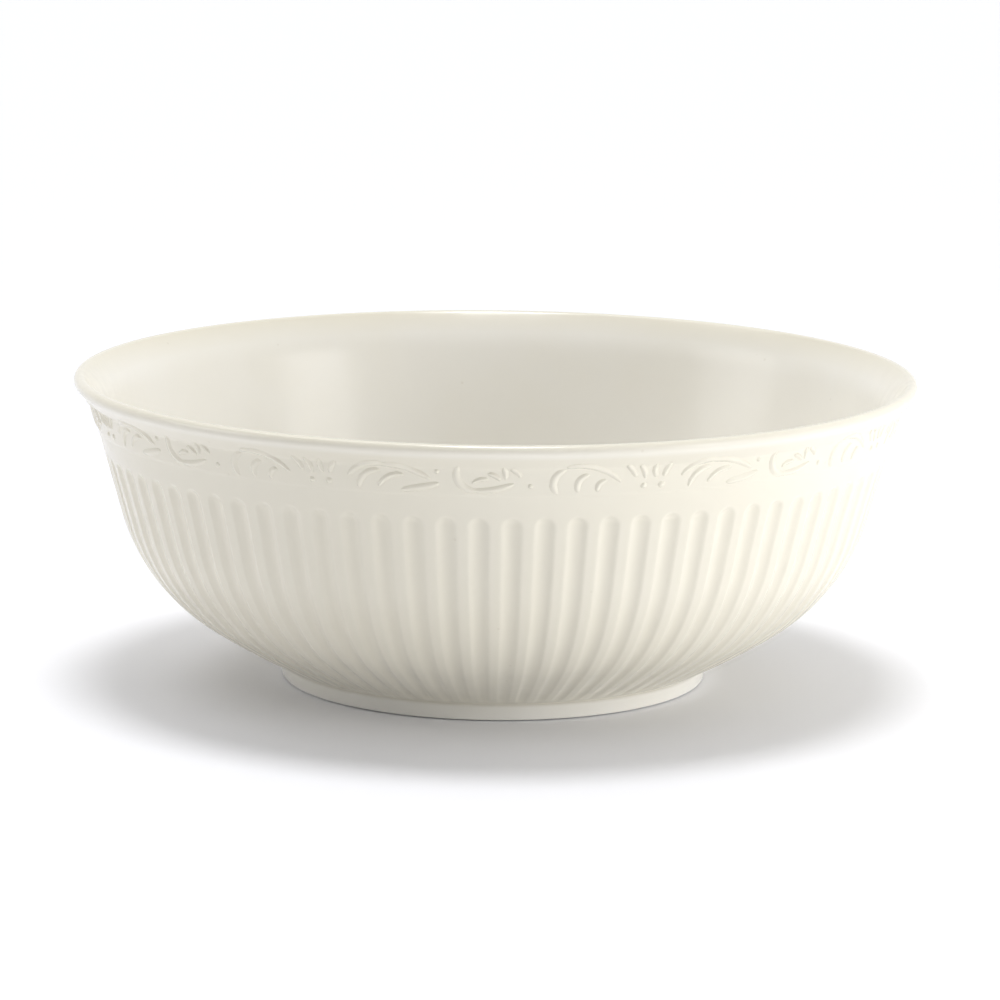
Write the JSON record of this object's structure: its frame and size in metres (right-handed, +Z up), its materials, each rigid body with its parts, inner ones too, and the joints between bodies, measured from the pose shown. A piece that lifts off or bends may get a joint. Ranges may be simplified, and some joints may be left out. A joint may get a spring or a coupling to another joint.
{
  "type": "serving bowl",
  "caption": "Round glazed porcelain serving bowl with a fluted wall, a moulded leaf-scroll band, an everted lip and a low foot ring.",
  "frame": {"origin": "centre of the foot ring's resting plane", "axes": "+Z up along the bowl's axis of symmetry, from the foot to the rim; -Y faces the viewer"},
  "size_m": [0.254, 0.254, 0.093],
  "materials": {
    "glaze": "glossy cream glaze",
    "foot": "glossy cream glaze, wiped to bare porcelain on the resting edge",
    "relief": "glossy cream glaze over low moulded relief"
  },
  "bodies": {
    "root": {"bowl_body": "glaze", "foot_ring": "foot", "tendril_arch_1": "relief", "tendril_arch_2": "relief", "tendril_arch_3": "relief", "tendril_arch_4": "relief", "tendril_arch_5": "relief", "tendril_arch_6": "relief", "tendril_arch_7": "relief", "tendril_arch_8": "relief", "crook_scroll_1": "relief", "crook_scroll_2": "relief", "crook_scroll_3": "relief", "crook_scroll_4": "relief", "crook_scroll_5": "relief", "crook_scroll_6": "relief", "crook_scroll_7": "relief", "crook_scroll_8": "relief", "fan_arch_1": "relief", "fan_arch_2": "relief", "fan_arch_3": "relief", "fan_arch_4": "relief", "fan_arch_5": "relief", "fan_arch_6": "relief", "fan_arch_7": "relief", "fan_arch_8": "relief", "flower_spray_1": "relief", "flower_spray_2": "relief", "flower_spray_3": "relief", "flower_spray_4": "relief", "flower_spray_5": "relief", "flower_spray_6": "relief", "flower_spray_7": "relief", "flower_spray_8": "relief"}
  },
  "joints": []
}
